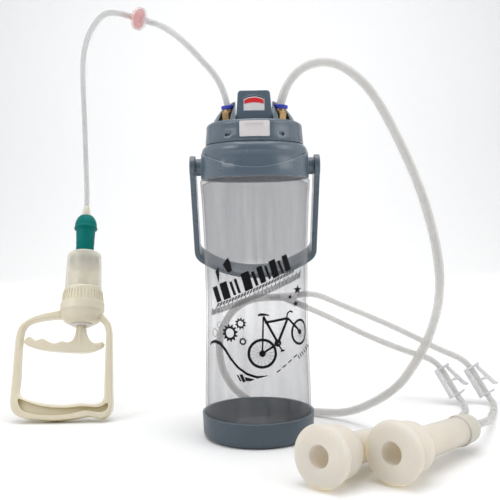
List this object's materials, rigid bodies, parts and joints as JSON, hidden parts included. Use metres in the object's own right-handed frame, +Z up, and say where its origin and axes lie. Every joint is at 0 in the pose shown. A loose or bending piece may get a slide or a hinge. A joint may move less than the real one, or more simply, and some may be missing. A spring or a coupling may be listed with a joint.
{
  "type": "hand milking machine",
  "caption": "Hand-pumped milking set: clear bottle with flip lid and carry handle, push-in hose fittings, inline check valve, hand vacuum pump, milk hoses with pinch clamps and teat cups.",
  "frame": {"origin": "centre of the flat underside of the bottle's base cap, on the floor", "axes": "+Z up along the bottle, +X to the right seen from the bottle's front (the side with the release button), +Y towards the back"},
  "size_m": [0.5336, 0.3262, 0.4226],
  "materials": {
    "lid_plastic": "satin",
    "clear_plastic": "gloss",
    "clear_red_plastic": "gloss",
    "white_plastic": "satin",
    "brass": "satin",
    "blue_plastic": "gloss",
    "rubber_black": "matte",
    "silicone_clear": "satin",
    "silicone_cream": "satin",
    "diaphragm_red": "matte",
    "milky_plastic": "satin",
    "cream_plastic": "satin",
    "green_plastic": "satin",
    "grey_plastic": "satin",
    "spring_steel": "satin"
  },
  "bodies": {
    "machine": {"lid_collar": "lid_plastic", "lid_gasket": "silicone_clear", "lid_top": "lid_plastic", "top_gasket": "silicone_clear", "spout": "white_plastic", "handle_pivot_pins": "lid_plastic", "flip_hinge_pin": "spring_steel", "flip_spring": "spring_steel", "button_spring": "spring_steel", "vacuum_fitting_body": "brass", "vacuum_fitting_oring": "rubber_black", "vacuum_fitting_nut": "brass", "milk_fitting_body": "brass", "milk_fitting_oring": "rubber_black", "milk_fitting_nut": "brass", "vacuum_hose_lid": "silicone_clear", "vacuum_hose_pump": "silicone_clear", "milk_hose_main": "silicone_clear", "milk_hose_branch_left": "silicone_clear", "milk_hose_branch_right": "silicone_clear", "y_connector": "white_plastic", "valve_half_lid": "clear_plastic", "valve_half_pump": "clear_red_plastic", "valve_diaphragm": "diaphragm_red", "clamp_left_body": "white_plastic", "clamp_right_body": "white_plastic", "cup_left_liner": "silicone_cream", "cup_left_shell": "milky_plastic", "cup_left_end_cap": "silicone_cream", "cup_right_liner": "silicone_cream", "cup_right_shell": "milky_plastic", "cup_right_end_cap": "silicone_cream", "pump_barrel": "milky_plastic", "pump_ring_nut": "cream_plastic", "pump_frame": "cream_plastic", "rod_bush": "white_plastic", "nozzle": "green_plastic", "hose_adapter": "milky_plastic", "barrel_gasket": "rubber_black"},
    "bottle": {"bottle_shell": "clear_plastic", "base_cap": "lid_plastic"},
    "handle": {"carry_handle": "lid_plastic"},
    "cover": {"flip_cover": "lid_plastic", "spout_plug": "silicone_clear"},
    "lock": {"lock_slider": "white_plastic"},
    "button": {"release_button": "white_plastic"},
    "vacuum_collar": {"vacuum_release_collar": "blue_plastic"},
    "milk_collar": {"milk_release_collar": "blue_plastic"},
    "piston": {"pull_handle": "cream_plastic", "piston": "grey_plastic", "piston_seal": "rubber_black", "piston_valve": "rubber_black"},
    "clamp_lever_left": {"clamp_left_lever": "white_plastic"},
    "clamp_lever_right": {"clamp_right_lever": "white_plastic"}
  },
  "joints": [
    {"name": "bottle_unscrew", "type": "hinge", "parent": "machine", "child": "bottle", "pos_m": [0, 0, 0], "axis": [0, 0, -1], "range_deg": [0, 270]},
    {"name": "handle_swing", "type": "hinge", "parent": "machine", "child": "handle", "pos_m": [0, 0, 0.2602], "axis": [1, 0, 0], "range_deg": [0, 150]},
    {"name": "cover_flip", "type": "hinge", "parent": "machine", "child": "cover", "pos_m": [0, 0.014, 0.3192], "axis": [-1, 0, 0], "range_deg": [0, 110]},
    {"name": "lock_slide", "type": "slide", "parent": "cover", "child": "lock", "axis": [0, 0, 1], "range_m": [0, 0.0014]},
    {"name": "button_press", "type": "slide", "parent": "machine", "child": "button", "axis": [0, 1, 0], "range_m": [0, 0.0015], "deforming": ["button_spring"]},
    {"name": "vacuum_collar_press", "type": "slide", "parent": "machine", "child": "vacuum_collar", "axis": [0.0872, 0, -0.9962], "range_m": [0, 0.0012]},
    {"name": "milk_collar_press", "type": "slide", "parent": "machine", "child": "milk_collar", "axis": [-0.0872, 0, -0.9962], "range_m": [0, 0.0012]},
    {"name": "pump_stroke", "type": "slide", "parent": "machine", "child": "piston", "axis": [0.026, -0.3745, -0.9269], "range_m": [0, 0.045]},
    {"name": "clamp_left_pinch", "type": "hinge", "parent": "machine", "child": "clamp_lever_left", "pos_m": [0.21602, 0.11457, 0.04107], "axis": [0.0731, 0.9279, -0.3655], "range_deg": [0, 20], "deforming": ["milk_hose_branch_left"]},
    {"name": "clamp_right_pinch", "type": "hinge", "parent": "machine", "child": "clamp_lever_right", "pos_m": [0.25002, 0.11557, 0.04107], "axis": [0.0731, 0.9279, -0.3655], "range_deg": [0, 20], "deforming": ["milk_hose_branch_right"]}
  ]
}
